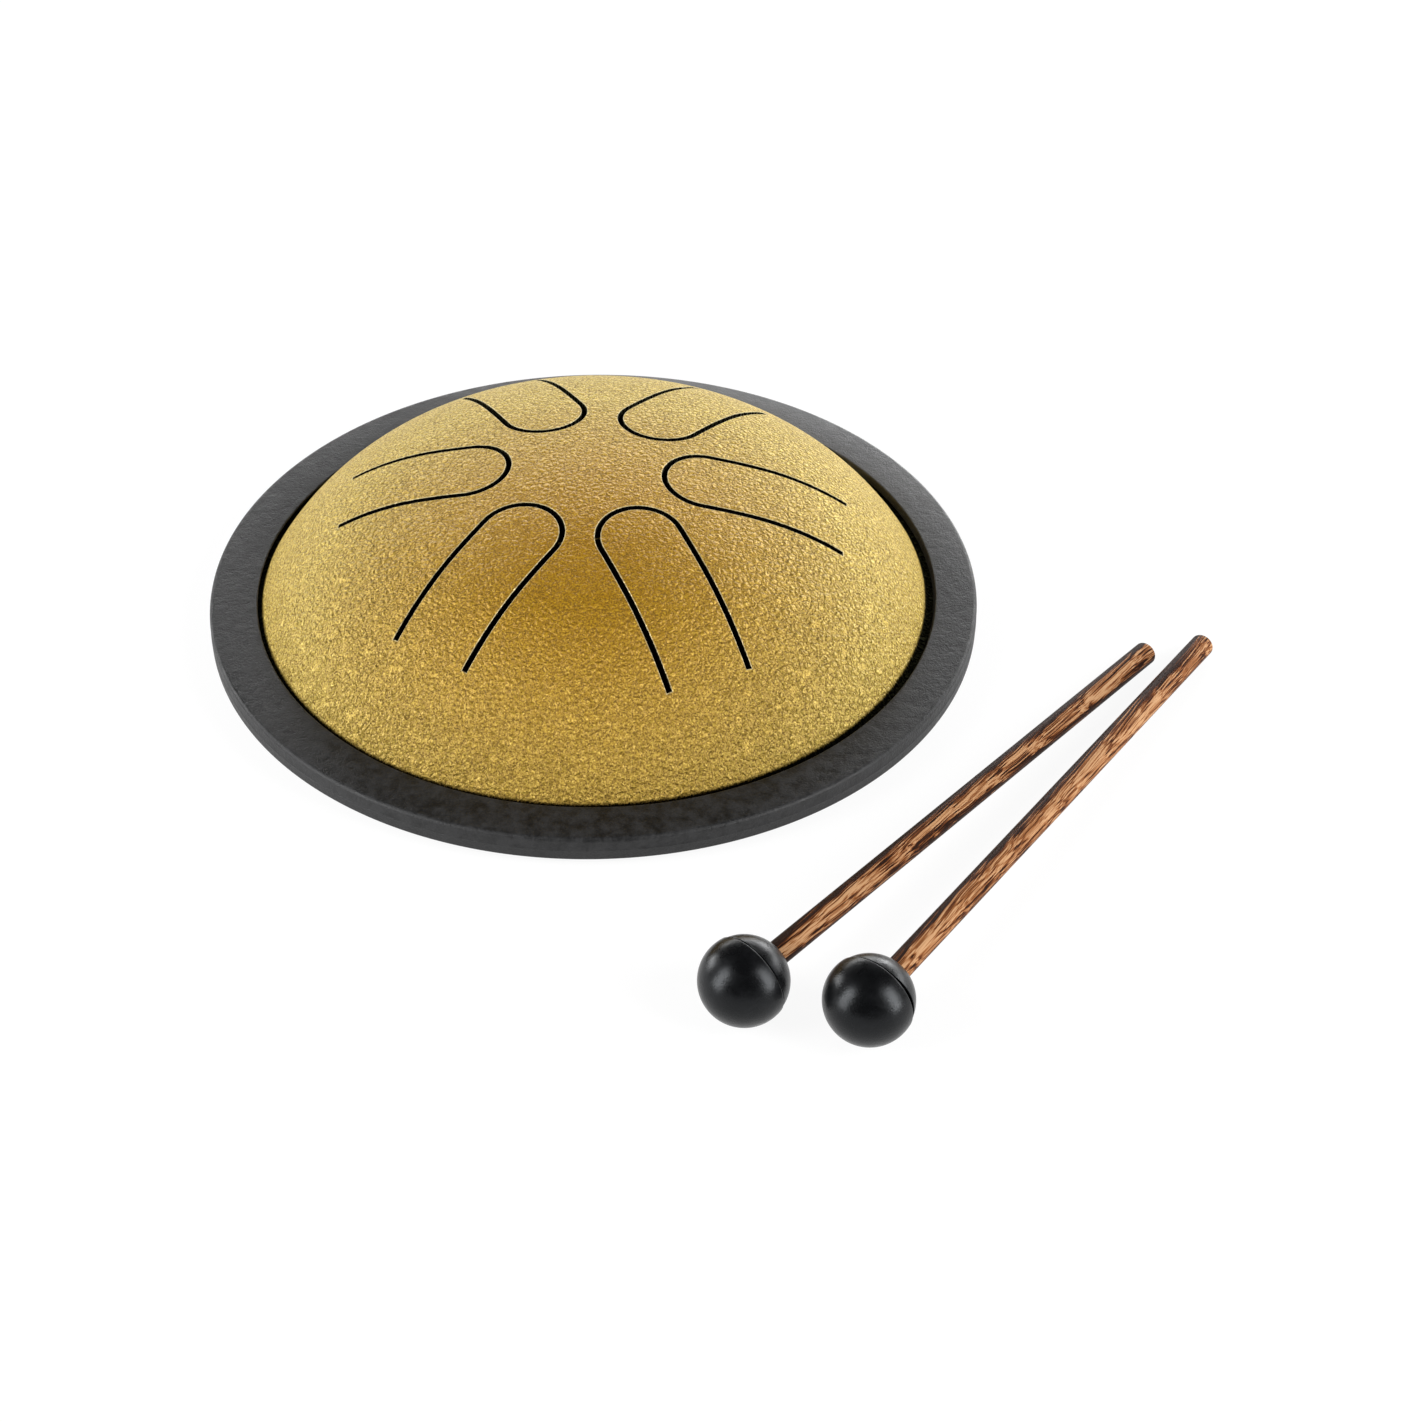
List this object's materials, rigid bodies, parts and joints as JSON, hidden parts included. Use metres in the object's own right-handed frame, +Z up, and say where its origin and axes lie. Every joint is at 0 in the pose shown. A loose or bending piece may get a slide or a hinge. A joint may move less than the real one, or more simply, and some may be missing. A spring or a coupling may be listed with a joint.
{
  "type": "steel tongue drum",
  "caption": "Domed steel drum whose slotted tongues ring when struck, held in a grooved rubber ring on rubber feet, with rubber-headed wooden mallets.",
  "frame": {"origin": "on the surface that the drum stands on, under the middle of its dome", "axes": "+Z up along the dome's axis, +X to the drum's right and -Y towards its front, where the mallets lie"},
  "size_m": [0.2343, 0.2374, 0.0414],
  "materials": {
    "gold_coat": "fine wrinkled gold powder coat",
    "charcoal_rubber": "matte",
    "black_rubber": "semi-matte, moulded",
    "brown_wood": "smooth, streaky dark grain, oiled"
  },
  "bodies": {
    "drum": {"top_shell": "gold_coat", "bottom_shell": "gold_coat", "edge_ring": "charcoal_rubber", "foot_rear_right": "charcoal_rubber", "foot_rear_left": "charcoal_rubber", "foot_front_left": "charcoal_rubber", "foot_front_right": "charcoal_rubber"},
    "left_mallet": {"left_mallet_stick": "brown_wood", "left_mallet_head": "black_rubber"},
    "right_mallet": {"right_mallet_stick": "brown_wood", "right_mallet_head": "black_rubber"}
  },
  "joints": [
    {"name": "left_mallet_lift", "type": "slide", "parent": "drum", "child": "left_mallet", "axis": [0, 0, 1], "range_m": [0, 0.15]},
    {"name": "right_mallet_lift", "type": "slide", "parent": "drum", "child": "right_mallet", "axis": [0, 0, 1], "range_m": [0, 0.15]}
  ]
}
